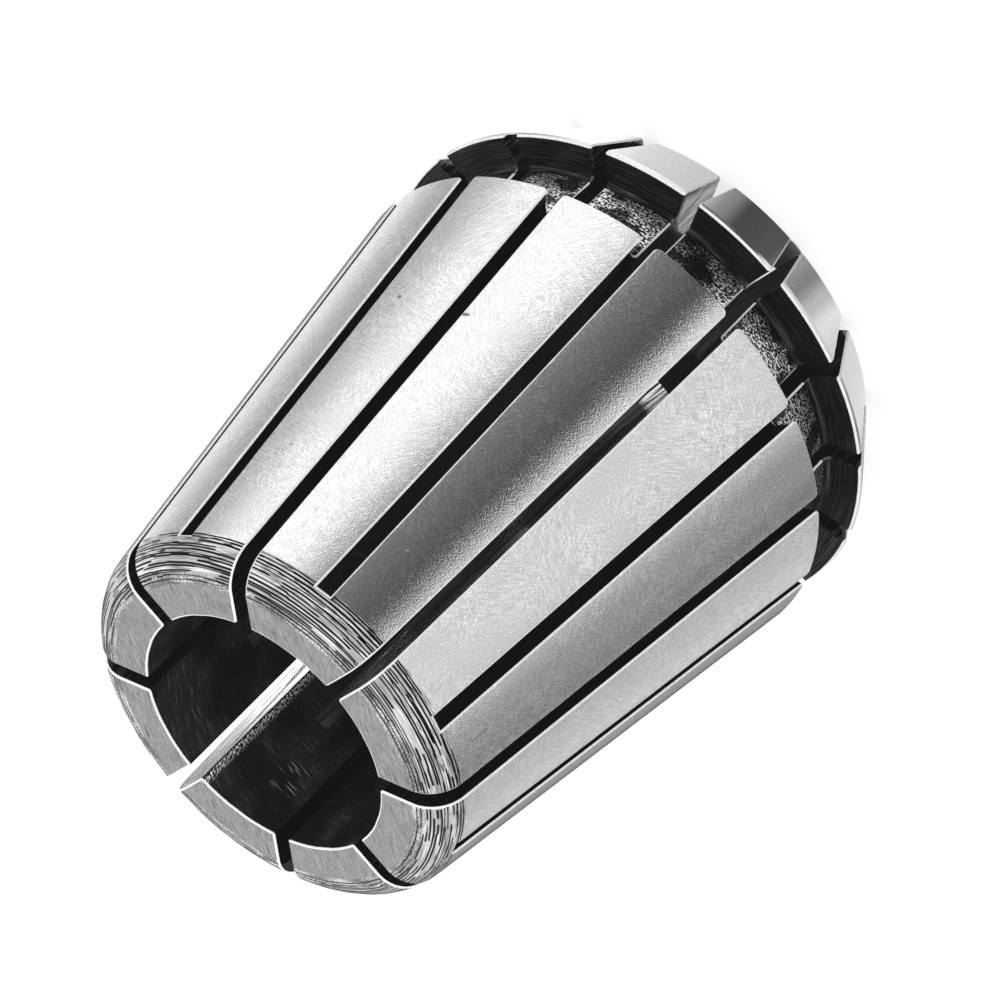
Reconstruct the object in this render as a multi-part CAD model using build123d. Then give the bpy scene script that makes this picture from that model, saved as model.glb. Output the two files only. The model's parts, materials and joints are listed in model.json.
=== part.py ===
from build123d import *
import math
import os

# Spring collet, turned and sawn from one bar of spring steel. It stands on its front face, with the
# large end at z = 0 and the small end up. All sizes are in millimetres and degrees.
overall_length = 40.0
bore_diameter = 16.0

# Collar at the front, with the short taper that the closing nut presses on
collar_diameter = 33.0
collar_thickness = 5.0
collar_land = 0.3
front_taper_angle = 30.0
front_edge_bevel = 0.2
collar_edge_break = 0.15

# Groove behind the collar, for the nut's pull-out ring
groove_width = 4.1
groove_depth = 2.15
groove_corner_bevel = 0.3

# Long ground cone, set back a little from the collar at its large edge
cone_half_angle = 8.0
cone_step = 0.1
cone_edge_break = 0.1
small_end_radius = 2.2

# Bevels at the two mouths of the bore
front_mouth_bevel = 0.5
small_end_mouth_bevel = 0.2

# Saw cuts: long and short ones from the front, and one from the small end on each short one's line.
# One round saw makes them all, so each cut stops on the saw's own curve, and goes less far in the bore.
slots_per_set = 8
slot_width = 1.0
long_slot_web = 1.6
short_slot_past_groove = 5.6
slot_bridge_depth = 0.9
saw_diameter = 40.0
saw_cut_inside_bore = 1.5
blade_overrun = 1.0

bore_radius = bore_diameter / 2
collar_radius = collar_diameter / 2
cone_large_radius = collar_radius - cone_step
groove_floor_radius = cone_large_radius - groove_depth
groove_end_z = collar_thickness + groove_width
taper_height = collar_thickness - collar_land
front_face_radius = collar_radius - taper_height * math.tan(math.radians(front_taper_angle))
short_slot_end_z = groove_end_z + short_slot_past_groove
long_slot_end_z = overall_length - long_slot_web
slot_pitch_angle = 360.0 / slots_per_set
saw_radius = saw_diameter / 2
saw_centre_radius = bore_radius - saw_cut_inside_bore + saw_radius


def cone_radius_at(z):
    return cone_large_radius - (z - groove_end_z) * math.tan(math.radians(cone_half_angle))


def corner(outline, radius, z):
    return outline.vertices().sort_by_distance((radius, z, 0))[0]


def turned_blank():
    # Half section on the right of the axis, radius across and height up
    small_end_corner_radius = cone_radius_at(overall_length)
    section = make_face(
        Polyline(
            (bore_radius, 0),
            (front_face_radius, 0),
            (collar_radius, taper_height),
            (collar_radius, collar_thickness),
            (groove_floor_radius, collar_thickness),
            (groove_floor_radius, groove_end_z),
            (cone_large_radius, groove_end_z),
            (small_end_corner_radius, overall_length),
            (bore_radius, overall_length),
            close=True,
        )
    )
    section = chamfer(corner(section, front_face_radius, 0), front_edge_bevel)
    section = chamfer(corner(section, collar_radius, collar_thickness), collar_edge_break)
    for z in (collar_thickness, groove_end_z):
        section = chamfer(corner(section, groove_floor_radius, z), groove_corner_bevel)
    section = chamfer(corner(section, cone_large_radius, groove_end_z), cone_edge_break)
    section = fillet(corner(section, small_end_corner_radius, overall_length), small_end_radius)
    section = chamfer(corner(section, bore_radius, 0), front_mouth_bevel)
    section = chamfer(corner(section, bore_radius, overall_length), small_end_mouth_bevel)
    return revolve(Plane.XZ * section, Axis.Z)


def saw_path(end_radius, end_z, from_front):
    # The path of the saw, fed in along the axis from one end until its rim reaches one point
    distance_to_end = saw_centre_radius - end_radius
    rim_ahead_of_centre = math.sqrt(saw_radius**2 - distance_to_end**2)
    if from_front:
        stop_z = end_z - rim_ahead_of_centre
        start_z = min(stop_z, 0) - blade_overrun
    else:
        stop_z = end_z + rim_ahead_of_centre
        start_z = max(stop_z, overall_length) + blade_overrun
    saw = Pos(saw_centre_radius, 0, stop_z) * Rot(90, 0, 0) * Cylinder(saw_radius, slot_width)
    feed_middle = Pos(saw_centre_radius - saw_radius / 2, 0, (start_z + stop_z) / 2)
    return saw + feed_middle * Box(saw_radius, slot_width, abs(start_z - stop_z))


def around_axis(blade, first_angle):
    return [Rot(0, 0, first_angle + n * slot_pitch_angle) * blade for n in range(slots_per_set)]


# The two cuts on a short slot's line meet a little under the surface, and leave a bridge at the bore
bridge_top_radius = cone_radius_at(short_slot_end_z) - slot_bridge_depth

collet_body = turned_blank()
long_cut = saw_path(cone_radius_at(long_slot_end_z), long_slot_end_z, from_front=True)
short_cut = saw_path(bridge_top_radius, short_slot_end_z, from_front=True)
small_end_cut = saw_path(bridge_top_radius, short_slot_end_z, from_front=False)
collet_body -= around_axis(long_cut, slot_pitch_angle / 2)
collet_body -= around_axis(short_cut, 0)
collet_body -= around_axis(small_end_cut, 0)

os.makedirs("parts", exist_ok=True)
export_step(collet_body, "parts/collet_body.step")
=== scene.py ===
import bpy
import json
import math
import random
from mathutils import Matrix, Vector, noise


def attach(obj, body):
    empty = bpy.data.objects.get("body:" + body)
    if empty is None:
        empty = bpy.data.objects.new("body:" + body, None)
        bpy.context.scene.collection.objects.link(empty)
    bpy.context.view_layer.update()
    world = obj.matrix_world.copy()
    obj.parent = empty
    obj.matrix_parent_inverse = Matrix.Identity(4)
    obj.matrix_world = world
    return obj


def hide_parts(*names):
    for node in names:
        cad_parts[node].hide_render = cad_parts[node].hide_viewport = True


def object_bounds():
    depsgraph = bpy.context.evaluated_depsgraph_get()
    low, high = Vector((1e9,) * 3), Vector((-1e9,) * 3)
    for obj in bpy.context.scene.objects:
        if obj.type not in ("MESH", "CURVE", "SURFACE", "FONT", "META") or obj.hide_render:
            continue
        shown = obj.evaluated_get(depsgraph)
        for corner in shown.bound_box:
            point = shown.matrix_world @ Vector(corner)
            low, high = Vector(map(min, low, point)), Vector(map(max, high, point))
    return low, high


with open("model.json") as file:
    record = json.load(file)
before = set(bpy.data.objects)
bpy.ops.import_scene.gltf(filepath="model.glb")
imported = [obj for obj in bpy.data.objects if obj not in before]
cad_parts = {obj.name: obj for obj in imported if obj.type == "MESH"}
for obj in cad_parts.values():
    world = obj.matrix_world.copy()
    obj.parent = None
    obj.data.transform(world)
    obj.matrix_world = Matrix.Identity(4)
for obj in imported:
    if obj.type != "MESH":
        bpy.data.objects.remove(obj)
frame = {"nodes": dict(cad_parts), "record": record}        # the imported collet, in metres, standing on its large face
cadLow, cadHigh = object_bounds()
mm = 0.001
print("frame loaded:", list(frame["nodes"]))


def mountNamed(name):
    return next(m for m in frame["record"]["mounts"] if m["name"] == name)


# The collet's section and saw cuts: what the frame gives is read from it
slots = {
    "width": 0.97 * mm,
    "cadWidth": 1.0 * mm,
    "perSet": 8,
    "longEnd": 38.4 * mm,            # the long cuts come from the front and stop here
    "shortEnd": 14.7 * mm,           # the short ones from the front stop here
    "bridgeDepth": 0.9 * mm,         # the saw from the small end meets them this far under the surface
    "sawRadius": 20.0 * mm,          # one round saw makes them all and leaves its curve
    "sawInsideBore": 1.5 * mm,       # how far the saw reaches into the bore
    "sawFloorSteps": 18,
    "edgeBevel": 0.10 * mm,
    "bevelLean": (0.4, 1.1),         # how far the bevel's shading leans into the slot, at its outer and inner line
    "edgeWander": 0.030 * mm,        # how uneven the sawn edges are
    "wanderPerMm": 1.7,
    "wanderApart": (3.1, 5.0),       # sets each slot, and each side of it, apart from the others in the noise
    "cornerRadius": 0.35 * mm,       # sector corners at the front edge of the cone
    "cornerRows": (1.0, 0.7, 0.45, 0.25),
    "bevelShare": 0.999,             # a hair under 1 and over 1, against rounding
    "boreShare": 1.0001,
}
blank = {
    "length": cadHigh.z - cadLow.z,
    "boreRadius": mountNamed("tool_bore")["dims"]["r_mm"] * mm,
    "collarRadius": math.hypot(cadHigh.x, slots["cadWidth"] / 2),      # the box is measured beside a slot
    "collarThickness": 5.0 * mm,
    "collarLand": 0.3 * mm,
    "frontTaperAngle": 30.0,
    "grooveWidth": 4.1 * mm,
    "grooveDepth": 2.15 * mm,
    "coneHalfAngle": 8.0,
    "coneStep": 0.1 * mm,
    "frontMouthBevel": 0.5 * mm,
    "smallMouthBevel": 0.10 * mm,
    "sharpEdge": 0.03 * mm,
    "frontEdgeRadius": 0.4 * mm,
    "landRadius": 0.09 * mm,
    "collarBackRadius": 0.12 * mm,
    "grooveCornerRadius": 0.4 * mm,
    "coneEdgeRadius": 0.1 * mm,
    "smallEndRadius": 2.2 * mm,
    "smallEndSteps": 100,            # fine enough for the turned rings
    "columns": 21,                   # mesh columns between two slots
}
rowSpacing = {"mouth": 0.2 * mm, "face": 1.2 * mm, "taper": 0.6 * mm, "land": 0.1 * mm, "backWall": 0.4 * mm,
              "grooveFloor": 0.5 * mm, "rearWall": 0.4 * mm, "cone": 0.7 * mm, "ring": 0.5 * mm, "bore": 1.2 * mm}
turnedRings = {
    "count": 15,
    "depth": 0.024 * mm,
    "width": 0.046 * mm,
    "widthRange": (0.7, 1.35),       # times the width, from ring to ring
    "wander": 0.03 * mm,
    "wanderWaves": 2.5,
    "step": 0.03 * mm,               # how far the pieces of a ring lie out of line
    "startBand": 0.05 * mm,          # left smooth beside the cone
    "cleanBand": 0.2 * mm,           # left smooth beside the flat end face
    "unevenness": 0.2,               # of the rings' spacing, in shares of it
    "pieceLength": (0.6 * mm, 3.2 * mm),
    "pieceStrengths": (0.1, 0.5, 0.8, 1.0, 1.0, 1.0),
    "middleRadius": 11.5 * mm,
    "slopeReach": 0.004 * mm,        # the slope of a ring's side is measured over twice this
    "seed": 5,
}
blank["grooveEnd"] = blank["collarThickness"] + blank["grooveWidth"]
blank["coneLargeRadius"] = blank["collarRadius"] - blank["coneStep"]
blank["grooveFloorRadius"] = blank["coneLargeRadius"] - blank["grooveDepth"]
sectors = slots["perSet"] * 2
pitch = 2 * math.pi / sectors
print("sizes set")


def coneRadiusAt(z):
    return blank["coneLargeRadius"] - (z - blank["grooveEnd"]) * math.tan(math.radians(blank["coneHalfAngle"]))


def bridgeTopRadius():
    return coneRadiusAt(slots["shortEnd"]) - slots["bridgeDepth"]


def sawAxisRadius():
    return blank["boreRadius"] - slots["sawInsideBore"] + slots["sawRadius"]


def rimAhead(radius):
    # how far the saw's rim stands ahead of the saw's axis, at one distance from the collet's axis
    return math.sqrt(slots["sawRadius"] ** 2 - (sawAxisRadius() - radius) ** 2)


def sawAxisHeight(kind):
    # where the saw's axis stops, for the cuts from the front and for the one from the small end
    if kind == "long":
        return slots["longEnd"] - rimAhead(coneRadiusAt(slots["longEnd"]))
    if kind == "short":
        return slots["shortEnd"] - rimAhead(bridgeTopRadius())
    return slots["shortEnd"] + rimAhead(bridgeTopRadius())


def frontCutHeight(kind, radius):
    return sawAxisHeight(kind) + rimAhead(radius)


def sawFloorHeight(radius):
    return sawAxisHeight("smallEnd") - rimAhead(radius)


def evenSteps(start, end, steps):
    return [start + (end - start) * i / steps for i in range(steps + 1)]


def cutEnd(kind, fromRadius, toRadius):
    # where a slot stops, from its last open row back to its first: radius, height, finish and saw
    steps = slots["sawFloorSteps"]
    if kind == "long":
        return [(r, frontCutHeight(kind, r), "sawnWall", kind) for r in evenSteps(toRadius, fromRadius, steps)]
    top = bridgeTopRadius()
    return ([(r, sawFloorHeight(r), "sawFloor", "smallEnd") for r in evenSteps(toRadius, top, steps)[:-1]]
            + [(r, frontCutHeight(kind, r), "sawnWall", kind) for r in evenSteps(top, fromRadius, steps)])


def sectionCorners():
    # radius, height, rounding, steps on the rounding, surface on it, surface after it
    b = blank
    bore, collar, thick, top = b["boreRadius"], b["collarRadius"], b["collarThickness"], b["length"]
    taperTop = thick - b["collarLand"]
    faceRadius = collar - taperTop * math.tan(math.radians(b["frontTaperAngle"]))
    floorRadius, grooveEnd, sharp = b["grooveFloorRadius"], b["grooveEnd"], b["sharpEdge"]
    return [
        (bore, b["frontMouthBevel"], sharp, 2, "mouth", "mouth"),
        (bore + b["frontMouthBevel"], 0.0, sharp, 2, "mouth", "face"),
        (faceRadius, 0.0, b["frontEdgeRadius"], 6, "taper", "taper"),
        (collar, taperTop, b["landRadius"], 3, "taper", "land"),
        (collar, thick, b["collarBackRadius"], 3, "edge", "backWall"),
        (floorRadius, thick, b["grooveCornerRadius"], 6, "backWall", "grooveFloor"),
        (floorRadius, grooveEnd, b["grooveCornerRadius"], 6, "rearWall", "rearWall"),
        (b["coneLargeRadius"], grooveEnd, b["coneEdgeRadius"], 3, "cone", "cone"),
        (coneRadiusAt(top), top, b["smallEndRadius"], b["smallEndSteps"], "rounding", "ring"),
        (bore, top, b["smallMouthBevel"], 4, "mouth", "bore"),
    ]


def neighbours(items):
    # each item with the one after it, round to the first
    return zip(items, items[1:] + items[:1])


def rowBetween(row, following, share):
    return {"at": row["at"].lerp(following["at"], share),
            "normal": row["normal"].lerp(following["normal"], share).normalized(),
            "surface": row["surface"]}


def sectionRows():
    # the closed section as rows of position, outward normal and surface
    corners = sectionCorners()
    points = [Vector(corner[:2]) for corner in corners]
    rows = []
    for i, (point, corner) in enumerate(zip(points, corners)):
        rounding, steps, surfaceOn, surfaceAfter = corner[2:]
        before = (point - points[i - 1]).normalized()
        after = (points[(i + 1) % len(points)] - point).normalized()
        turn = math.atan2(before.x * after.y - before.y * after.x, before.dot(after))
        normal = Vector((before.y, -before.x))
        bulge = math.copysign(rounding, turn)
        start = point - before * rounding * math.tan(abs(turn) / 2)
        centre = start - normal * bulge
        for step in range(steps + 1):
            n = Matrix.Rotation(turn * step / steps, 2) @ normal
            rows.append({"at": centre + n * bulge, "normal": n, "surface": surfaceOn})
        rows[-1]["surface"] = surfaceAfter
    filled = []
    for row, following in neighbours(rows):
        filled.append(row)
        gap = (following["at"] - row["at"]).length
        parts = max(1, round(gap / rowSpacing[row["surface"]])) if row["surface"] in rowSpacing else 1
        filled += [rowBetween(row, following, part / parts) for part in range(1, parts)]
    return filled


def withRowAt(rows, height, surfaces):
    # adds a row at one height, on the named surfaces
    out = []
    for row, following in neighbours(rows):
        out.append(row)
        low, high = row["at"].y, following["at"].y
        if row["surface"] in surfaces and (low - height) * (high - height) < 0:
            out.append(rowBetween(row, following, (height - low) / (high - low)))
    return out


def measuredRows():
    # all rows, with those that the slots' ends and corners need, and how far each lies along the section
    bevel, bore = slots["edgeBevel"], blank["boreRadius"]
    rows = withRowAt(sectionRows(), slots["longEnd"] + bevel, ("cone", "rounding"))
    for share in slots["cornerRows"]:
        rows = withRowAt(rows, blank["grooveEnd"] + slots["cornerRadius"] * share, ("cone",))
    for height in (frontCutHeight("long", bore) + bevel, frontCutHeight("short", bore) + bevel,
                   sawFloorHeight(bore) - bevel):
        rows = withRowAt(rows, height, ("bore",))
    length = 0.0
    for row, following in neighbours(rows):
        row["along"] = length
        length += (following["at"] - row["at"]).length
    return rows


def ringPlan(rows):
    # where the turned rings lie along the section, each broken into pieces with their own strength
    t = turnedRings
    rng = random.Random(t["seed"])
    along = [row["along"] for row in rows if row["surface"] == "rounding"]
    start, end = along[0] + t["startBand"], along[-1] - t["cleanBand"]
    spacing, uneven = (end - start) / t["count"], t["unevenness"]
    plan = []
    for i in range(t["count"]):
        pieces, angle = [], 0.0
        while angle < 2 * math.pi:
            angle += rng.uniform(*t["pieceLength"]) / t["middleRadius"]
            pieces.append((angle, rng.choice(t["pieceStrengths"]), rng.uniform(-1, 1) * t["step"]))
        plan.append({"at": start + spacing * (i + 0.5 + rng.uniform(-uneven, uneven)), "pieces": pieces,
                     "width": t["width"] * rng.uniform(*t["widthRange"]), "phase": rng.uniform(0, 100)})
    return plan


def ringsAt(plan, angle):
    # each ring's place, strength and width at one angle round the axis
    waves, found = turnedRings["wanderWaves"], []
    for ring in plan:
        drift = noise.noise(Vector((math.cos(angle) * waves, math.sin(angle) * waves, ring["phase"])))
        end, strength, step = next(piece for piece in ring["pieces"] if piece[0] >= angle)
        found.append((ring["at"] + drift * turnedRings["wander"] + step, strength, ring["width"]))
    return found


def ringDepth(found, along):
    # 0 on the land between rings, 1 at the bottom of the deepest
    return max(strength * math.exp(-((along - at) / width) ** 2) for at, strength, width in found)


def sunkByRings(row, found):
    # the row's place and normal once the rings are turned into it, and how deep it lies
    along, normal = row["along"], row["normal"]
    reach, depth = turnedRings["slopeReach"], turnedRings["depth"]
    shade = ringDepth(found, along)
    slope = (ringDepth(found, along + reach) - ringDepth(found, along - reach)) / (2 * reach)
    leaning = (normal + Vector((-normal.y, normal.x)) * slope * depth).normalized()
    return row["at"] - normal * shade * depth, leaning, shade


def isOpen(kind, point):
    # whether a slot of this kind cuts the surface here, its edge bevel included
    reach = slots["edgeBevel"] * slots["bevelShare"]
    if point.y < frontCutHeight(kind, point.x) + reach:
        return True
    return kind == "short" and point.y > sawFloorHeight(point.x) - reach


def openRun(rows, kind):
    # the rows that the slot cuts, as row numbers in order round the section
    count = len(rows)
    openRow = [isOpen(kind, row["at"]) for row in rows]
    first = next(k for k in range(count) if openRow[k] and not openRow[k - 1])
    run = [first]
    while openRow[(run[-1] + 1) % count]:
        run.append((run[-1] + 1) % count)
    return run


class meshBook:
    # collects points and faces, with a finish and a normal for each face corner
    def __init__(self):
        self.points, self.shade, self.across, self.faces, self.finish, self.normals = [], [], [], [], [], []
        self.grid, self.normalAt = {}, {}              # the sectors' points, by sector, row and column

    def point(self, position, shade=0.0, across=0.0):
        self.points.append(position)
        self.shade.append(shade)
        self.across.append(across)
        return len(self.points) - 1

    def face(self, corners, finish, normals):
        kept = [(c, n) for i, (c, n) in enumerate(zip(corners, normals)) if c != corners[i - 1]]
        if len(kept) < 3:
            return
        loop = [self.points[c] for c, n in kept]
        flat = sum((a.cross(b) for a, b in neighbours(loop)), Vector())
        if flat.dot(sum((n for c, n in kept), Vector())) < 0:      # the face turns the way its normals point
            kept.reverse()
        self.faces.append([c for c, n in kept])
        self.finish.append(finish)
        self.normals.extend(n for c, n in kept)

    def gridPoint(self, key, position, normal, shade):
        self.grid[key], self.normalAt[key] = self.point(position, shade), normal

    def gridFace(self, keys, finish):
        self.face([self.grid[key] for key in keys], finish, [self.normalAt[key] for key in keys])


def polar(radius, angle, z):
    return Vector((radius * math.cos(angle), radius * math.sin(angle), z))


def besideSlot(radius, offset, slotAngle, z):
    # a point at a straight distance beside the slot's middle plane
    ahead = math.sqrt(radius ** 2 - offset ** 2)
    c, s = math.cos(slotAngle), math.sin(slotAngle)
    return Vector((ahead * c - offset * s, ahead * s + offset * c, z))


def cornerEase(row):
    # how far a sector's rounded corner draws back from the slot on this row
    radius, fromCorner = slots["cornerRadius"], row["at"].y - blank["grooveEnd"]
    if row["surface"] == "rearWall":
        share = (row["at"].x - blank["grooveFloorRadius"]) / blank["grooveCornerRadius"]
        return radius * min(1.0, max(0.0, share))
    if row["surface"] != "cone" or fromCorner > radius:
        return 0.0
    return radius - math.sqrt(max(0.0, radius ** 2 - (radius - fromCorner) ** 2))


def edgeOffset(slotNumber, side, row):
    # how far a sector's edge lies from the middle plane of the slot beside it
    slotApart, sideApart = slots["wanderApart"]
    height = row["at"].y / mm * slots["wanderPerMm"]
    wander = noise.noise(Vector((height, slotNumber * slotApart, side * sideApart)))
    return slots["width"] / 2 + slots["edgeBevel"] + slots["edgeWander"] * wander + cornerEase(row)


def intoSlot(stopPoint, saw, slotAngle):
    # the direction from the cut's end into the open slot, which is towards the saw's axis
    way = Vector((sawAxisRadius() - stopPoint[0], sawAxisHeight(saw) - stopPoint[1])).normalized()
    return polar(way.x, slotAngle, way.y)


def layGrid(book, rows, plan):
    # the points of each sector's surface, from the slot on one side of it to the next
    last = blank["columns"] - 1
    for sector in range(sectors):
        for column in range(blank["columns"]):
            share = column / last
            found = ringsAt(plan, (sector + share) * pitch)
            for k, row in enumerate(rows):
                at, normal, shade = row["at"], row["normal"], 0.0
                low = sector * pitch + math.asin(edgeOffset(sector, 1, row) / at.x)
                high = (sector + 1) * pitch - math.asin(edgeOffset((sector + 1) % sectors, -1, row) / at.x)
                angle = low + (high - low) * share
                if row["surface"] == "rounding":
                    at, normal, shade = sunkByRings(row, found)
                book.gridPoint((sector, k, column), polar(at.x, angle, at.y), polar(normal.x, angle, normal.y), shade)


def laySectors(book, rows):
    for sector in range(sectors):
        for k, row in enumerate(rows):
            after = (k + 1) % len(rows)
            for column in range(blank["columns"] - 1):
                book.gridFace([(sector, k, column), (sector, k, column + 1),
                               (sector, after, column + 1), (sector, after, column)], row["surface"])


def wallPoint(book, row, cut, side, end):
    # the wall's point inside one row's bevel, or the end of the cut where that lies nearer
    inset = row["at"] - row["normal"] * slots["edgeBevel"]
    first, last = Vector(cut["stop"][0][:2]), Vector(cut["stop"][-1][:2])
    beyond = inset.y >= frontCutHeight(cut["kind"], inset.x)
    if cut["kind"] == "short":
        beyond = beyond and inset.x <= cut["fromRadius"] * slots["boreShare"] and inset.y <= first.y
    if beyond:
        return end[0] if (inset - first).length < (inset - last).length else end[-1]
    offset = side * (slots["width"] / 2 + cornerEase(row))
    return book.point(besideSlot(inset.x, offset, cut["angle"], inset.y))


def bevelFinish(surface, following):
    if surface == "bore" and following in ("bore", "mouth"):
        return "bore"
    return "sawnWall" if surface == "backWall" else "edge"


def layWall(book, rows, cut, side):
    # one wall of a cut and the bevel round it: gives the wall's points on the end of the cut
    edge, keyAt, half = cut["edge"], cut["keyAt"], slots["width"] / 2
    facing = Vector((-math.sin(cut["angle"]), math.cos(cut["angle"]), 0.0)) * -side
    end = [book.point(besideSlot(s[0], side * half, cut["angle"], s[1]), across=side) for s in cut["stop"]]
    wall = [wallPoint(book, rows[k], cut, side, end) for k in edge[1:-1]]
    book.face(wall + end, "sawnWall", [facing] * len(wall + end))
    inner = [end[-1]] + wall + [end[0]]
    leanOuter, leanInner = slots["bevelLean"]
    for i in range(len(edge) - 1):
        outer = [keyAt(side, edge[i]), keyAt(side, edge[i + 1])]
        corners = [book.grid[outer[0]], book.grid[outer[1]], inner[i + 1], inner[i]]
        outward = [book.normalAt[key] for key in outer]
        normals = [(n + facing * leanOuter).normalized() for n in outward]
        normals += [(n + facing * leanInner).normalized() for n in reversed(outward)]
        book.face(corners, bevelFinish(rows[edge[i]]["surface"], rows[edge[i + 1]]["surface"]), normals)
    return end


def cutSlot(book, rows, run, kind, slotNumber):
    # one slot: the bridges where it is closed, its two walls, and the end of the cut between them
    count, slotAngle = len(rows), slotNumber * pitch

    def keyAt(side, k):
        # the grid point beside the slot: the last of the sector before it, or the first of the one after it
        return (slotNumber, k, 0) if side > 0 else ((slotNumber - 1) % sectors, k, blank["columns"] - 1)

    for k, row in enumerate(rows):
        after = (k + 1) % count
        if k not in run and after not in run:
            book.gridFace([keyAt(-1, k), keyAt(1, k), keyAt(1, after), keyAt(-1, after)], row["surface"])
    closedBefore, closedAfter = (run[0] - 1) % count, (run[-1] + 1) % count
    fromRadius = blank["boreRadius"] + slots["edgeBevel"]
    toRadius = rows[closedAfter]["at"].x - slots["edgeBevel"] if kind == "long" else fromRadius
    stop = cutEnd(kind, fromRadius, toRadius)
    cut = {"kind": kind, "angle": slotAngle, "stop": stop, "fromRadius": fromRadius, "keyAt": keyAt,
           "edge": [closedBefore] + run + [closedAfter]}
    before, beyond = (layWall(book, rows, cut, side) for side in (-1, 1))
    for i in range(len(stop) - 1):
        here, there = (intoSlot(s, stop[i][3], slotAngle) for s in (stop[i], stop[i + 1]))
        book.face([before[i + 1], beyond[i + 1], beyond[i], before[i]], stop[i][2], [there, there, here, here])
    for closed, end in ((closedBefore, -1), (closedAfter, 0)):
        keys = [keyAt(-1, closed), keyAt(1, closed)]
        outward = book.normalAt[keys[0]] + book.normalAt[keys[1]]
        normal = (outward + intoSlot(stop[end], stop[end][3], slotAngle)).normalized()
        book.face([book.grid[keys[0]], book.grid[keys[1]], beyond[end], before[end]], "edge", [normal] * 4)


def buildCollet():
    rows = measuredRows()
    book = meshBook()
    layGrid(book, rows, ringPlan(rows))
    laySectors(book, rows)
    print("surfaces laid out:", len(book.faces), "faces")
    runs = {kind: openRun(rows, kind) for kind in ("short", "long")}
    for slotNumber in range(sectors):
        kind = "long" if slotNumber % 2 else "short"
        cutSlot(book, rows, runs[kind], kind, slotNumber)
    print("slots cut:", sectors)
    return book


def addItem(name, data):
    item = bpy.data.objects.new(name, data)
    bpy.context.scene.collection.objects.link(item)
    return item


def colletMesh(book, materials):
    mesh = bpy.data.meshes.new("springCollet")
    mesh.from_pydata(book.points, [], book.faces)
    names = list(materials)
    for name in names:
        mesh.materials.append(materials[name])
    mesh.polygons.foreach_set("material_index", [names.index(finish) for finish in book.finish])
    mesh.polygons.foreach_set("use_smooth", [True] * len(book.faces))
    mesh.attributes.new("ringDepth", "FLOAT", "POINT").data.foreach_set("value", book.shade)
    mesh.attributes.new("acrossSlot", "FLOAT", "POINT").data.foreach_set("value", book.across)
    mesh.normals_split_custom_set([tuple(n) for n in book.normals])
    return addItem("springCollet", mesh)


def addNode(tree, kind, inputs=None, **settings):
    node = tree.nodes.new("ShaderNode" + kind)
    for name, value in settings.items():
        setattr(node, name, value)
    for name, value in (inputs or {}).items():
        if isinstance(value, bpy.types.NodeSocket):
            tree.links.new(value, node.inputs[name])
        else:
            node.inputs[name].default_value = value
    return node


def maths(tree, operation, first, second):
    return addNode(tree, "Math", {0: first, 1: second}, operation=operation).outputs[0]


def times(tree, first, second):
    return maths(tree, "MULTIPLY", first, second)


def plus(tree, first, second):
    return maths(tree, "ADD", first, second)


def minus(tree, first, second):
    return maths(tree, "SUBTRACT", first, second)


def spread(tree, value, fromLow, fromHigh, low, high):
    return addNode(tree, "MapRange", {"Value": value, "From Min": fromLow, "From Max": fromHigh,
                                      "To Min": low, "To Max": high}).outputs["Result"]


def together(tree, x, y, z=0.0):
    return addNode(tree, "CombineXYZ", {"X": x, "Y": y, "Z": z}).outputs[0]


def lengthOf(tree, vector):
    return addNode(tree, "VectorMath", {0: vector}, operation="LENGTH").outputs["Value"]


unrollRadius = 14.0                  # an angle of one radian on the steel is this many millimetres on its unrolled plan


def unrolled(azimuth):
    return math.radians(azimuth) * unrollRadius


def place(tree, unroll=True):
    # where a point lies, in millimetres: unrolled round the axis and up, or plain x, y and z
    metres = addNode(tree, "TexCoord").outputs["Object"]
    plain = addNode(tree, "VectorMath", {0: metres, "Scale": 1 / mm}, operation="SCALE").outputs[0]
    if not unroll:
        return plain
    parts = addNode(tree, "SeparateXYZ", {0: plain})
    angle = maths(tree, "ARCTAN2", parts.outputs["Y"], parts.outputs["X"])
    return together(tree, times(tree, angle, unrollRadius), parts.outputs["Z"])


def around(tree):
    return addNode(tree, "SeparateXYZ", {0: place(tree)}).outputs["X"]


def upward(tree):
    return addNode(tree, "SeparateXYZ", {0: place(tree, False)}).outputs["Z"]


def fromAxis(tree):
    parts = addNode(tree, "SeparateXYZ", {0: place(tree, False)})
    return lengthOf(tree, together(tree, parts.outputs["X"], parts.outputs["Y"]))


def noiseAt(tree, vector, detail):
    return addNode(tree, "TexNoise", {"Vector": vector, "Scale": 1.0, "Detail": detail}).outputs["Fac"]


def grain(tree, look):
    # noise whose blotches have the look's size in millimetres, turned by its angle in the surface
    mapping = addNode(tree, "Mapping", {"Vector": place(tree, look.get("unroll", True)), "Scale": look["size"],
                                        "Rotation": (0, 0, math.radians(look.get("turn", 0)))}, vector_type="TEXTURE")
    return noiseAt(tree, mapping.outputs[0], look.get("detail", 1.0))


def tones(tree, look):
    # the grain, with its noise between two levels spread to two tones
    return spread(tree, grain(tree, look), *look["noise"], *look["tone"])


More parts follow.
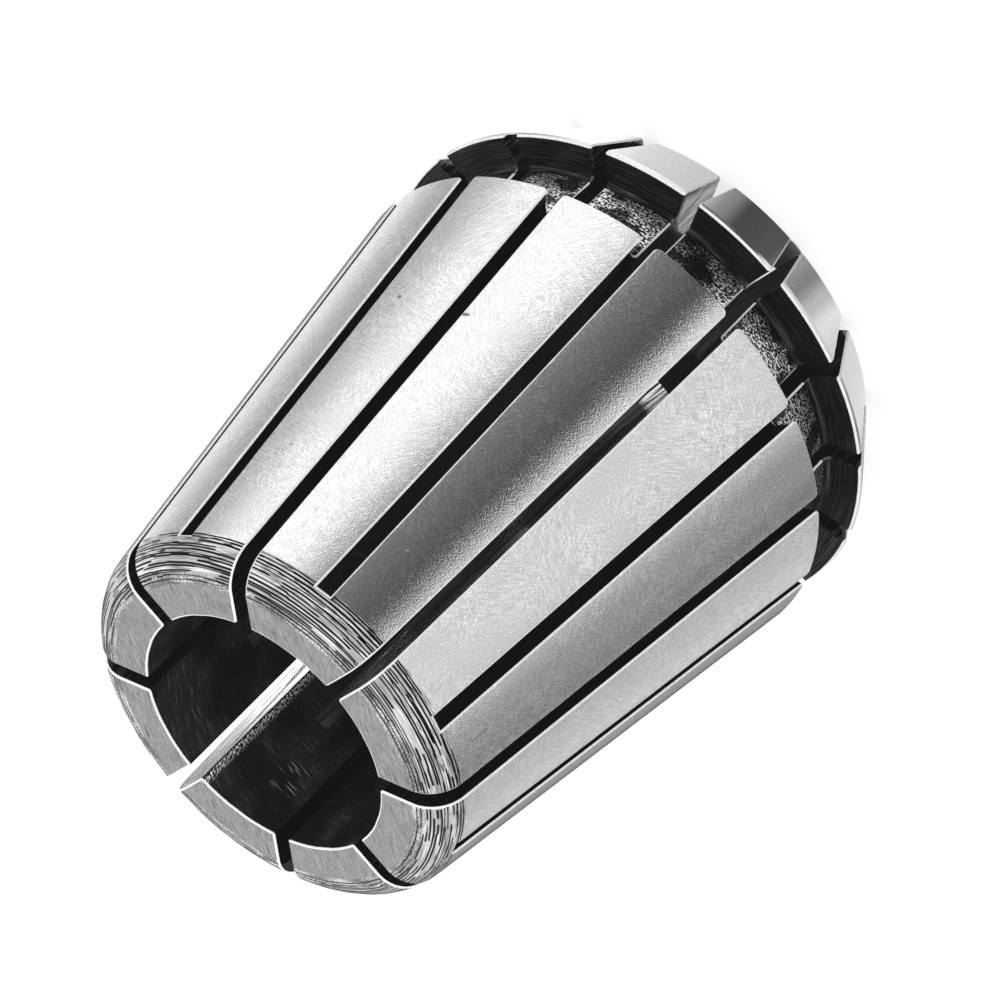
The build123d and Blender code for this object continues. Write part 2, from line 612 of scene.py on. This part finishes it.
def steel(name, look, tone, roughness=None, relief=None):
    # the look's colour times a tone. Roughness and relief come from the look, or from a function of their own
    material = bpy.data.materials.new(name)
    material.use_nodes = True
    tree = material.node_tree
    shader = tree.nodes["Principled BSDF"]
    shader.inputs["Metallic"].default_value = look.get("metallic", 1.0)
    shader.inputs["Emission Color"].default_value = (1, 1, 1, 1)
    # painted light: the deep finishes glow faintly, though they are no lamp
    shader.inputs["Emission Strength"].default_value = look.get("paintedGlow", 0.0)
    mixed = addNode(tree, "Mix", {"Factor": 1.0}, data_type="RGBA", blend_type="MULTIPLY")
    mixed.inputs[6].default_value = (*look["colour"], 1.0)
    tree.links.new(tone(tree), mixed.inputs[7])
    tree.links.new(mixed.outputs[2], shader.inputs["Base Color"])
    if roughness is None:
        shader.inputs["Roughness"].default_value = look["roughness"]
    else:
        tree.links.new(roughness(tree), shader.inputs["Roughness"])
    if relief is not None or "relief" in look:
        height = relief(tree) if relief is not None else grain(tree, look["relief"])
        bump = addNode(tree, "Bump", {"Height": height, "Distance": look["reliefDepth"] * mm, "Strength": 1.0})
        tree.links.new(bump.outputs[0], shader.inputs["Normal"])
    material.cycles.emission_sampling = "NONE"
    return material


# All finishes: sizes, reaches and relief depths are in millimetres. A grain has a size along the surface, up and
# through it, a turn and a detail. Its noise between two levels becomes a tone between two others
colours = {
    "steel": (0.62, 0.62, 0.63),
    # painted highlight: white matt for the edges, so that they show as bright lines
    "bright": (0.97, 0.97, 0.97),
    "dull": (0.33, 0.33, 0.335),
    "sawn": (0.06, 0.06, 0.062),
    # painted shade: the bore and the collar's back wall are coloured nearly black for the shade inside them
    "paintedShadeDark": (0.055, 0.055, 0.057),
}
paintedGlow = 0.007                   # painted light: a faint glow of the deep places, in place of the light that would reach them

cone = {
    "colour": colours["steel"],
    "roughness": 0.14,
    "specks": {"size": (0.11, 0.11, 1), "noise": (0.3, 0.7), "tone": (0.84, 1.14)},
    # painted glints: small dots brighter than the steel can be
    "dots": {"size": (0.15, 0.12, 1), "turn": 30, "detail": 0.0, "noise": (0.76, 0.8), "tone": (1.0, 1.9)},
    "swirls": [(25, 3.1), (-35, 4.3), (70, 5.7)],      # turn of the strokes and size of their patches
    "strokes": {"size": (0.09, 0.9, 1), "detail": 0.0, "noise": (0.4, 0.66), "tone": (-0.06, 0.14)},
    "strokePatches": {"detail": 0.0, "noise": (0.42, 0.55), "tone": (0.0, 1.0)},
    "cells": {"size": (0.1, 0.12, 1), "detail": 2.0},
    "cellDepth": 0.012,
    "hatch": {"size": (0.07, 0.7, 1)},
    "hatchTurn": 42,
    "hatchDepth": 0.004,
    "reliefDepth": 1.0,              # its two reliefs have depths of their own
    # nicks and scratches: azimuth, height, length, width, turn from level, tone. A tone over 1 is a painted highlight
    # on the nick
    "flaws": [(-2.5, 19.2, 0.35, 0.13, 20, 0.25), (-21.9, 27.5, 0.30, 0.14, 70, 0.3), (14.9, 19.2, 0.14, 0.12, 0, 0.35),
              (-78.2, 36.2, 0.75, 0.04, 93, 0.45), (-30.5, 33.4, 0.16, 0.10, 40, 2.2),
              (-59.0, 15.2, 0.30, 0.04, 35, 0.65), (12.0, 31.0, 0.12, 0.09, 0, 0.5)],
    "flawEdge": (0.75, 1.1),         # where a flaw starts and ends to fade, in shares of its size
}


def flawTone(tree):
    marks, level = place(tree), 1.0
    for azimuth, height, length, width, turn, tone in cone["flaws"]:
        local = addNode(tree, "Mapping", {"Vector": marks, "Location": (unrolled(azimuth), height, 0),
                                          "Rotation": (0, 0, math.radians(turn)), "Scale": (length, width, 1)},
                        vector_type="TEXTURE")
        away = lengthOf(tree, local.outputs[0])
        level = times(tree, spread(tree, away, *cone["flawEdge"], tone, 1.0), level)
    return level


def swirls(tree):
    # short grinding strokes that lie one way here and another way there
    level = 1.0
    for turn, patch in cone["swirls"]:
        strokes = tones(tree, {**cone["strokes"], "turn": turn})
        where = tones(tree, {**cone["strokePatches"], "turn": turn, "size": (patch, patch, 1)})
        level = plus(tree, times(tree, strokes, where), level)
    return level


def coneFinish():
    def tone(tree):
        grains = times(tree, tones(tree, cone["specks"]), tones(tree, cone["dots"]))
        return times(tree, grains, times(tree, swirls(tree), flawTone(tree)))

    def relief(tree):
        one, other = (grain(tree, {**cone["hatch"], "turn": turn}) for turn in (cone["hatchTurn"], -cone["hatchTurn"]))
        hatch = times(tree, maths(tree, "MAXIMUM", one, other), cone["hatchDepth"])
        return plus(tree, times(tree, grain(tree, cone["cells"]), cone["cellDepth"]), hatch)

    return steel("groundCone", cone, tone, relief=relief)


taper = {
    "colour": colours["steel"],
    "roughness": 0.16,
    "scratches": {"size": (0.08, 1.2, 1), "turn": 62, "detail": 2.0, "noise": (0.35, 0.7), "tone": (1.04, 0.92)},
    "specks": {"size": (0.13, 0.13, 1), "noise": (0.3, 0.7), "tone": (0.9, 1.1)},
    "cells": {"size": (0.14, 0.16, 1), "detail": 2.0},
    "strokes": {"size": (0.1, 0.6, 1), "turn": 62, "detail": 2.0},
    "reliefDepth": 0.006,
}


def taperFinish():
    def tone(tree):
        return times(tree, tones(tree, taper["scratches"]), tones(tree, taper["specks"]))

    def relief(tree):
        return plus(tree, grain(tree, taper["cells"]), grain(tree, taper["strokes"]))

    return steel("groundTaper", taper, tone, relief=relief)


turnedEnd = {
    "colour": colours["steel"],
    "roughness": 0.2,
    "ringShade": (0.18, 0.42, 1.0, 0.02),              # painted shade in the rings' grooves: ring depths, from light to dark, and their tones
    # painted highlight: bright streaks along the rings
    "glints": {"size": (2.2, 0.03, 1), "detail": 2.0, "noise": (0.42, 0.6), "tone": (0.7, 1.5)},
    "dirt": {"size": (3.5, 0.6, 1), "noise": (0.42, 0.6), "tone": (1.1, 0.7)},
    "chatter": {"size": (0.1, 0.1, 0.1), "unroll": False, "noise": (0.4, 0.6), "tone": (0.35, 0.95)},
    "chatterHeights": (39.8, 39.9),  # it begins here, beside the flat end face
    "lines": {"size": (1.1, 0.045, 1), "detail": 0.0, "noise": (0.6, 0.66), "tone": (0.0, 0.9)},
    "lineHeights": (39.2, 39.6),     # the thin lines fade out here
    "relief": {"size": (0.6, 0.06, 1), "detail": 2.0},
    "reliefDepth": 0.014,
}


def turnedFinish():
    def tone(tree):
        depth = addNode(tree, "Attribute", attribute_name="ringDepth").outputs["Fac"]
        # painted shade in the grooves, and painted glints along them
        rings = times(tree, spread(tree, depth, *turnedEnd["ringShade"]), tones(tree, turnedEnd["glints"]))
        # thin broken lines between the rings, not near the face
        fading = spread(tree, upward(tree), *turnedEnd["lineHeights"], 1.0, 0.0)
        lines = times(tree, tones(tree, turnedEnd["lines"]), fading)
        nearFace = spread(tree, upward(tree), *turnedEnd["chatterHeights"], 0.0, 1.0)
        last = plus(tree, times(tree, nearFace, tones(tree, turnedEnd["chatter"])), minus(tree, 1.0, nearFace))
        worn = times(tree, tones(tree, turnedEnd["dirt"]), last)
        return times(tree, times(tree, rings, minus(tree, 1.0, lines)), worn)

    return steel("turnedEnd", turnedEnd, tone)


endFace = {
    "colour": colours["dull"],
    "roughness": 0.3,
    "fine": {"size": (1.4, 0.05, 1), "turn": 12, "detail": 2.0, "unroll": False,
             "noise": (0.38, 0.64), "tone": (1.38, 0.62)},
    "blotches": {"size": (0.3, 0.2, 1), "turn": 12, "unroll": False, "noise": (0.3, 0.7), "tone": (0.88, 1.12)},
    "deep": {"size": (1.6, 0.09, 1), "turn": 20, "detail": 0.0, "unroll": False,
             "noise": (0.7, 0.76), "tone": (1.0, 0.5)},
    "relief": {"size": (1.4, 0.07, 1), "turn": 12, "unroll": False},
    "reliefDepth": 0.006,
}


def endFinish():
    def tone(tree):
        ground = times(tree, tones(tree, endFace["fine"]), tones(tree, endFace["blotches"]))
        return times(tree, ground, tones(tree, endFace["deep"]))

    return steel("endFace", endFace, tone)


# The walls of the saw cuts, with painted light and shade: their tone fades by depth, height and place round the axis,
# for how much light reaches into each cut. A fade has two places and the tones at them
sawnWall = {
    "colour": colours["sawn"],
    "paintedGlow": paintedGlow,
    "streaks": {"size": (0.2, 0.2, 2.2), "detail": 3.0, "unroll": False},
    "streakTones": (0.4, 0.64, 0.35, 2.3),
    "streakGloss": (0.42, 0.6, 0.06, 0.4),
    "underEdge": (0.3, 1.6, 0.4, 1.0),                 # painted shade: darker just under the cone's surface, by depth under it
    # painted shade: darker towards the bore
    "nearBore": (4.0, 6.0, 1.0, 0.5),
    "frontEnd": (5.0, 8.0, 1.3, 0.45),                 # painted light by height: lighter near the open front, darker further in
    # painted light: lighter past the collar
    "pastCollar": (13.0, 17.0, 1.0, 2.2),
    "paintedLightCut": (31.0, 31.5, 1.0, 9.0),               # painted light round the axis: the cut across the bore that is painted bright
    "paintedShadeCut": (36.4, 37.0),                          # painted shade: and the one beside it, which is painted black
    "paintedShadeTone": 0.01,
    "blackGloss": 0.1,
    "relief": {"size": (0.12, 0.12, 3.0), "detail": 2.0, "unroll": False},
    "reliefDepth": 0.001,
}


def wallFinish():
    def paintedShadeBeyond(tree, level):
        return spread(tree, around(tree), *sawnWall["paintedShadeCut"], 1.0, level)

    def tone(tree):
        height = upward(tree)
        surface = minus(tree, coneRadiusAt(0) / mm, times(tree, height, math.tan(math.radians(blank["coneHalfAngle"]))))
        depth = minus(tree, surface, fromAxis(tree))
        # painted light and shade: by depth, by height and round the axis
        lit = times(tree, spread(tree, depth, *sawnWall["underEdge"]), spread(tree, depth, *sawnWall["nearBore"]))
        bright = spread(tree, around(tree), *sawnWall["paintedLightCut"])
        lit = times(tree, lit, times(tree, bright, paintedShadeBeyond(tree, sawnWall["paintedShadeTone"])))
        front = times(tree, spread(tree, height, *sawnWall["frontEnd"]), spread(tree, height, *sawnWall["pastCollar"]))
        streaks = spread(tree, grain(tree, sawnWall["streaks"]), *sawnWall["streakTones"])
        return times(tree, times(tree, lit, front), streaks)

    def gloss(tree):
        streaks = spread(tree, grain(tree, sawnWall["streaks"]), *sawnWall["streakGloss"])
        return times(tree, streaks, paintedShadeBeyond(tree, sawnWall["blackGloss"]))

    return steel("sawnWall", sawnWall, tone, gloss)


sawFloor = {
    "colour": colours["steel"],
    "roughness": 0.28,
    "paintedGlow": paintedGlow,
    "streakScale": (3.1, 0.4),       # of the streaks' noise, across the slot and upward
    # painted shade: the floor of the cut is dimmed away from the bridge
    "dim": (0.42, 0.62, 0.05, 0.14),
    # painted highlight: a tone far brighter than the steel
    "paintedShine": (0.46, 0.54, 0.05, 2.4),
    "paintedShineHeights": (15.75, 15.35),  # painted highlight, only near the bridge
    "paintedShineAround": (-6.0, -3.0, 1.0, 0.05),            # and only on one side of the collet
    "relief": {"size": (0.15, 0.15, 1.5), "detail": 2.0, "unroll": False},
    "reliefDepth": 0.01,
}


def sawFloorFinish():
    def tone(tree):
        acrossScale, upwardScale = sawFloor["streakScale"]
        across = addNode(tree, "Attribute", attribute_name="acrossSlot").outputs["Fac"]
        lines = together(tree, times(tree, across, acrossScale), times(tree, upward(tree), upwardScale))
        streaks = noiseAt(tree, lines, 1.0)
        # painted highlight near the bridge on one side of the collet, painted shade elsewhere
        nearEnd = spread(tree, upward(tree), *sawFloor["paintedShineHeights"], 0.0, 1.0)
        facing = spread(tree, around(tree), *sawFloor["paintedShineAround"])
        paintedShine = times(tree, spread(tree, streaks, *sawFloor["paintedShine"]), facing)
        dim = times(tree, spread(tree, streaks, *sawFloor["dim"]), minus(tree, 1.0, nearEnd))
        return plus(tree, dim, times(tree, paintedShine, nearEnd))

    return steel("sawFloor", sawFloor, tone)


bore = {
    "colour": colours["paintedShadeDark"],
    "roughness": 0.4,
    "metallic": 0.3,
    "paintedGlow": paintedGlow,
    "scratches": {"size": (2.4, 0.06, 1), "turn": 10, "detail": 2.0, "noise": (0.58, 0.74), "tone": (0.3, 3.4)},
    "patches": {"size": (4.0, 4.0, 1), "detail": 0.0, "noise": (0.45, 0.6), "tone": (0.25, 1.3)},
    "burrAt": 139.2,                 # azimuth of the cut's edge with the saw's burr
    "burrEdge": (-0.05, 0.0),
    "burrFade": (0.25, 0.85),        # how far the burr's painted highlight spreads over the bore
    # painted highlight: the burr's flecks are far brighter than the bore can be
    "burr": {"size": (0.28, 0.09, 1), "turn": 35, "noise": (0.52, 0.58), "tone": (0.0, 30.0)},
    "glints": {"size": (2.2, 0.08, 1), "turn": 10, "detail": 0.0, "noise": (0.66, 0.74), "tone": (0.0, 18.0)},
    "glintHeight": 36.0,             # where the painted glints on the scratches lie, and how far from there they fade
    "glintHeightFade": (0.3, 1.5),
    "glintFromBurr": 6.3,
    "glintAroundFade": (0.6, 2.2),
    "relief": {"size": (0.8, 0.08, 1), "turn": 10},
    "reliefDepth": 0.006,
}


def boreFinish():
    def near(tree, value, middle, fade):
        away = maths(tree, "ABSOLUTE", minus(tree, value, middle), 0.0)
        return spread(tree, away, *fade, 1.0, 0.0)

    def tone(tree):
        boreMarks = times(tree, tones(tree, bore["scratches"]), tones(tree, bore["patches"]))
        beside = minus(tree, around(tree), unrolled(bore["burrAt"]))
        where = times(tree, near(tree, upward(tree), bore["glintHeight"], bore["glintHeightFade"]),
                      near(tree, beside, bore["glintFromBurr"], bore["glintAroundFade"]))
        worn = plus(tree, boreMarks, times(tree, tones(tree, bore["glints"]), where))
        # painted highlight on the burr, and painted glints on the scratches
        burrReach = times(tree, spread(tree, beside, *bore["burrEdge"], 0.0, 1.0),
                          spread(tree, beside, *bore["burrFade"], 1.0, 0.0))
        return plus(tree, worn, times(tree, burrReach, tones(tree, bore["burr"])))

    return steel("bore", bore, tone)


grooveFloor = {
    "colour": colours["steel"],
    "roughness": 0.3,
    "paintedGlow": paintedGlow,
    "pits": {"size": (0.18, 0.13, 1), "noise": (0.47, 0.57), "tone": (0.05, 4.0)},
    "streaks": {"size": (1.8, 0.1, 1), "noise": (0.42, 0.58), "tone": (0.35, 1.4)},
    "patches": {"size": (2.2, 1.6, 1), "noise": (0.44, 0.56), "tone": (0.06, 1.1)},
    "around": (-6.0, 0.0, 0.65, 1.3),                  # painted light: brighter on from here, on one side of the collet
    "relief": {"size": (0.17, 0.12, 1)},
    "reliefDepth": 0.04,
}


def grooveFloorFinish():
    def tone(tree):
        pitted = times(tree, tones(tree, grooveFloor["pits"]), tones(tree, grooveFloor["streaks"]))
        # painted light: lighter on one side of the collet
        brighter = spread(tree, around(tree), *grooveFloor["around"])
        return times(tree, pitted, times(tree, tones(tree, grooveFloor["patches"]), brighter))

    return steel("grooveFloor", grooveFloor, tone)


grooveWall = {
    "colour": colours["paintedShadeDark"],
    "roughness": 0.5,
    "paintedGlow": paintedGlow,
    "ringScale": (0.4, 10.0),        # of the turning marks' noise, round the axis and away from it
    "rings": (0.42, 0.72, 0.1, 1.5),
}


def grooveWallFinish():
    def tone(tree):
        aroundScale, outwardScale = grooveWall["ringScale"]
        marks = together(tree, times(tree, around(tree), aroundScale), times(tree, fromAxis(tree), outwardScale))
        return spread(tree, noiseAt(tree, marks, 2.0), *grooveWall["rings"])

    return steel("grooveWall", grooveWall, tone)


# painted highlight: the bevels and mouths are white matt, not steel, so every edge shows a bright line
edge = {
    "colour": colours["bright"],
    "roughness": 0.5,
    "metallic": 0.0,
    "blotches": {"size": (0.3, 0.3, 1), "detail": 2.0, "noise": (0.3, 0.7), "tone": (0.85, 1.0)},
}


def edgeFinish():
    return steel("edge", edge, lambda tree: tones(tree, edge["blotches"]))


def makeFinishes():
    # one for each surface of the section, and for what the saw leaves
    ground, bevel, turned = taperFinish(), edgeFinish(), grooveWallFinish()
    return {"cone": coneFinish(), "taper": ground, "land": ground, "rounding": turnedFinish(), "ring": endFinish(),
            "face": ground, "mouth": bevel, "edge": bevel, "sawnWall": wallFinish(), "sawFloor": sawFloorFinish(),
            "bore": boreFinish(), "grooveFloor": grooveFloorFinish(), "backWall": turned, "rearWall": turned}


collet = colletMesh(buildCollet(), makeFinishes())
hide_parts("collet_body")
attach(collet, "root")
print("collet made:", len(collet.data.polygons), "faces")

camera = {
    "azimuth": -36.82,               # degrees round +Z from +X
    "elevation": 35.25,
    "distance": 297.7 * mm,
    "roll": -135.11,                 # the small end points to the lower left of the picture
    "aim": (0.78 * mm, -0.82 * mm, 18.42 * mm),
    "lens": 188.0,
    "sensor": 36.0,
    "clip": (0.01, 10.0),
}


def cameraPlace():
    azimuth, elevation = math.radians(camera["azimuth"]), math.radians(camera["elevation"])
    return Vector(camera["aim"]) + polar(math.cos(elevation), azimuth, math.sin(elevation)) * camera["distance"]


def makeCamera():
    back = (cameraPlace() - Vector(camera["aim"])).normalized()
    data = bpy.data.cameras.new("camera")
    data.lens, data.sensor_width = camera["lens"], camera["sensor"]
    data.clip_start, data.clip_end = camera["clip"]
    item = addItem("camera", data)
    roll = Matrix.Rotation(math.radians(camera["roll"]), 4, "Z")
    turn = (-back).to_track_quat("-Z", "Y").to_matrix().to_4x4() @ roll
    item.matrix_world = Matrix.Translation(cameraPlace()) @ turn
    bpy.context.scene.camera = item


# The pale stage: floor, world and lamp
stage = {
    "floorHalf": 1.5,
    "floorColour": 0.35,
    "floorGlow": 0.75,
    "world": 1.25,
    "lampEnergy": 0.35,
    "lampSize": 1.2,
    "lampPlace": (0.5, -0.9, 1.0),
    "paintedShadowUnder": (7.5, 9.5),         # painted shadow: the floor gives no shine under the collet, in millimetres from the axis
    "paintedSlotShadow": (8.7, -8.7, 0),      # painted shadow: nor here, where it is seen through one of the collar's cuts
    "paintedSlotShadowReach": (1.35, 1.5),
}


def rayIs(tree, *kinds):
    # 1 for rays of these kinds, and 0 for the rest
    path = addNode(tree, "LightPath")
    level = path.outputs["Is " + kinds[0] + " Ray"]
    for kind in kinds[1:]:
        level = maths(tree, "MAXIMUM", level, path.outputs["Is " + kind + " Ray"])
    return level


def glowingMaterial(name):
    # a material with no nodes yet, whose glow isn't sampled as a lamp
    material = bpy.data.materials.new(name)
    material.use_nodes = True
    material.node_tree.nodes.clear()
    material.cycles.emission_sampling = "NONE"
    return material


def makeFloor():
    half = stage["floorHalf"]
    mesh = bpy.data.meshes.new("paleFloor")
    mesh.from_pydata([(-half, -half, 0), (half, -half, 0), (half, half, 0), (-half, half, 0)], [], [(0, 1, 2, 3)])
    material = glowingMaterial("paleFloor")
    tree = material.node_tree
    seen = rayIs(tree, "Camera", "Glossy", "Transmission")
    # painted shadow under the collet, and at a spot seen through one cut
    outside = spread(tree, lengthOf(tree, place(tree, False)), *stage["paintedShadowUnder"], 0.0, stage["floorGlow"])
    fromSlot = addNode(tree, "VectorMath", {0: place(tree, False), 1: stage["paintedSlotShadow"]}, operation="DISTANCE")
    outside = times(tree, outside, spread(tree, fromSlot.outputs["Value"], *stage["paintedSlotShadowReach"], 0.0, 1.0))
    matt = addNode(tree, "BsdfDiffuse", {"Color": (stage["floorColour"],) * 3 + (1,)})
    glow = addNode(tree, "Emission", {"Strength": times(tree, seen, outside)})
    both = addNode(tree, "AddShader", {0: matt.outputs[0], 1: glow.outputs[0]})
    addNode(tree, "OutputMaterial", {"Surface": both.outputs[0]})
    mesh.materials.append(material)
    addItem("paleFloor", mesh)


def makeWorld():
    world = bpy.data.worlds.new("paleRoom")
    bpy.context.scene.world = world
    world.use_nodes = True
    tree = world.node_tree
    tree.nodes.clear()
    level = spread(tree, rayIs(tree, "Camera", "Glossy"), 0.0, 1.0, stage["world"], 1.0)
    back = addNode(tree, "Background", {"Color": (1, 1, 1, 1), "Strength": level})
    addNode(tree, "OutputWorld", {"Surface": back.outputs[0]})
    world.cycles.sampling_method = "NONE"


def makeLamp():
    light = bpy.data.lights.new("softBox", "AREA")
    light.energy = stage["lampEnergy"]
    light.size = stage["lampSize"]
    lamp = addItem("softBox", light)
    lamp.location = stage["lampPlace"]
    lamp.rotation_euler = (-Vector(stage["lampPlace"])).to_track_quat("-Z", "Y").to_euler()
    lamp.visible_glossy = False


# The cards that only the steel's reflections see
cards = {
    "height": 0.05 * mm,
    "hole": 7.5 * mm,
    "inner": 13.3 * mm,
    "middle": 17.0 * mm,
    "steps": 720,
    "coneNear": 12.0 * mm,           # heights on the cone that the two azimuths of its stops belong to
    "coneFar": 36.0 * mm,
    "seenHeights": (7.0, 12.0, 20.0, 28.0, 36.0, 60.0),
    "atMiddle": -1.0,                # outward steps that stand for the card's two rims
    "atRim": 9.0,
    "rimReach": 4,
    "lastInView": 91.0,              # degrees from the camera's side, where the cone turns out of sight
    # azimuth on the steel, at its front and at its small end, and the brightness that it reflects there
    "coneStops": [(-217, -217, 2.6), (-210, -210, 2.6), (-198, -198, 0.02), (-125, -125, 0.02), (-121, -121, 0.45),
                  (-116, -116, 0.32), (-109, -109, 0.86), (-97, -97, 0.74), (-92, -92, 0.74), (-86, -86, 0.22),
                  (-82, -82, 0.44), (-79, -79, 0.45), (-75, -75, 0.42), (-70, -70, 0.76), (-63, -63, 0.96),
                  (-56, -56, 1.05), (-49, -49, 0.97), (-41.5, -42.2, 1.22), (-38.8, -39.8, 0.1), (-35.5, -35.5, 0.11),
                  (-31, -31, 0.2), (-26, -26, 0.25), (-23, -19.5, 0.45), (-18.5, -13, 1.3), (-8, -8, 1.6), (2, 2, 1.42),
                  (8, 8, 1.35), (12, 12, 1.0), (16, 16, 0.75), (21, 21, 0.66), (26, 26, 0.56), (30, 30, 0.7),
                  (36, 36, 0.94), (42, 42, 1.24), (46, 46, 0.62), (49, 49, 0.05), (52.5, 52.5, 0.4), (60, 60, 0.85),
                  (70, 70, 2.6), (144, 144, 2.6)],
    "taperStops": [(-217, -217, 0.5), (-112, -112, 0.2), (-104, -104, 0.7), (-94, -94, 0.93), (-82, -82, 0.93),
                   (-71, -71, 0.92), (-64, -64, 1.08), (-59, -59, 0.72), (-53, -53, 0.33), (-48, -48, 0.45),
                   (-42, -42, 0.13), (-31, -31, 0.1), (-26, -26, 0.36), (-19, -19, 0.85), (-8, -8, 0.92),
                   (-1, -1, 0.98), (4, 4, 1.15), (11, 11, 1.45), (28, 28, 2.0), (34, 34, 1.8), (41, 41, 1.2),
                   (52, 52, 0.4), (90, 90, 1.0), (144, 144, 0.5)],
    # what the walls of the collar's cuts see, under the collet
    "underStops": [(-217, -217, 0.02), (-36, -36, 0.02), (-29, -29, 0.5), (-18, -18, 0.8), (-8, -8, 0.1), (0, 0, 0.02),
                   (20, 20, 0.02), (27, 27, 1.3), (34, 34, 1.0), (42, 42, 0.5), (52, 52, 0.1), (60, 60, 0.02),
                   (144, 144, 0.02)],
}


def brightnessAt(stops, azimuth, outward):
    # outward runs from 0 near the collet to 1 further out
    places = [(near + (far - near) * outward, level) for near, far, level in stops]
    for (fromAngle, fromLevel), (toAngle, toLevel) in zip(places, places[1:]):
        if azimuth <= toAngle:
            share = (azimuth - fromAngle) / (toAngle - fromAngle)
            return fromLevel + (toLevel - fromLevel) * share * share * (3 - 2 * share)
    return places[-1][1]


def cardGlow():
    material = glowingMaterial("cardGlow")
    tree = material.node_tree
    level = addNode(tree, "Attribute", attribute_name="brightness").outputs["Fac"]
    glow = addNode(tree, "Emission", {"Color": (1, 1, 1, 1), "Strength": level})
    addNode(tree, "OutputMaterial", {"Surface": glow.outputs[0]})
    return material


def coneSees(azimuth, height):
    # the point of the floor that the camera sees mirrored in the cone
    last, ahead = cards["lastInView"], math.radians(camera["azimuth"])
    fromCamera = azimuth - camera["azimuth"]
    inView = max(-last, min(last, fromCamera))
    angle, slope = math.radians(inView + camera["azimuth"]), math.radians(blank["coneHalfAngle"])
    point, normal = polar(coneRadiusAt(height), angle, height), polar(math.cos(slope), angle, math.sin(slope))
    view = (point - cameraPlace()).normalized()
    way = view - normal * 2 * view.dot(normal)
    seen = point + way * ((cards["height"] - height) / way.z)
    if inView == fromCamera:
        return seen
    # the unseen rest of the cone spreads over the rest of the floor, to behind the collet
    turned = math.remainder(math.atan2(seen.y, seen.x) - ahead, 2 * math.pi)
    past = (abs(fromCamera) - last) / (180 - last)
    turned += (math.copysign(math.pi, fromCamera) - turned) * past
    return polar(math.hypot(seen.x, seen.y), turned + ahead, seen.z)


def card(name, placeOf, outwards, stops, material):
    # a flat card round the collet, made of spokes with a place and a brightness for each outward step
    steps, across = cards["steps"], len(outwards)
    points, faces, levels = [], [], []
    for i in range(steps + 1):
        azimuth = camera["azimuth"] - 180 + 360 * i / steps
        for outward in outwards:
            points.append(placeOf(azimuth, outward))
            levels.append(brightnessAt(stops, azimuth, min(1.0, max(0.0, outward))))
    for i in range(steps):
        for j in range(across - 1):
            first = i * across + j
            faces.append((first, first + 1, first + across + 1, first + across))
    mesh = bpy.data.meshes.new(name)
    mesh.from_pydata(points, [], faces)
    mesh.attributes.new("brightness", "FLOAT", "POINT").data.foreach_set("value", levels)
    mesh.materials.append(material)
    item = addItem(name, mesh)
    item.visible_camera = item.visible_diffuse = item.visible_shadow = False


def makeCards():
    near, far, glow = cards["coneNear"], cards["coneFar"], cardGlow()
    hole, inner, middle = cards["hole"], cards["inner"], cards["middle"]

    def ringPlace(start, end):
        return lambda azimuth, outward: polar(start + (end - start) * outward, math.radians(azimuth), cards["height"])

    def conePlace(azimuth, outward):
        if outward <= cards["atMiddle"]:
            return polar(middle, math.radians(azimuth), cards["height"])
        if outward >= cards["atRim"]:                 # beyond what the cone mirrors
            rim = coneSees(azimuth, cards["seenHeights"][-1] * mm)
            return Vector((rim.x * cards["rimReach"], rim.y * cards["rimReach"], rim.z))
        return coneSees(azimuth, near + (far - near) * outward)

    heights = [(height * mm - near) / (far - near) for height in cards["seenHeights"]]
    card("coneCard", conePlace, [cards["atMiddle"]] + heights + [cards["atRim"]], cards["coneStops"], glow)
    card("taperCard", ringPlace(inner, middle), [0.0, 1.0], cards["taperStops"], glow)
    card("underCard", ringPlace(hole, inner), [0.0, 1.0], cards["underStops"], glow)


makeFloor()
makeWorld()
makeLamp()
makeCards()
makeCamera()
bpy.context.scene.view_settings.view_transform = "Standard"
print("stage and camera made")
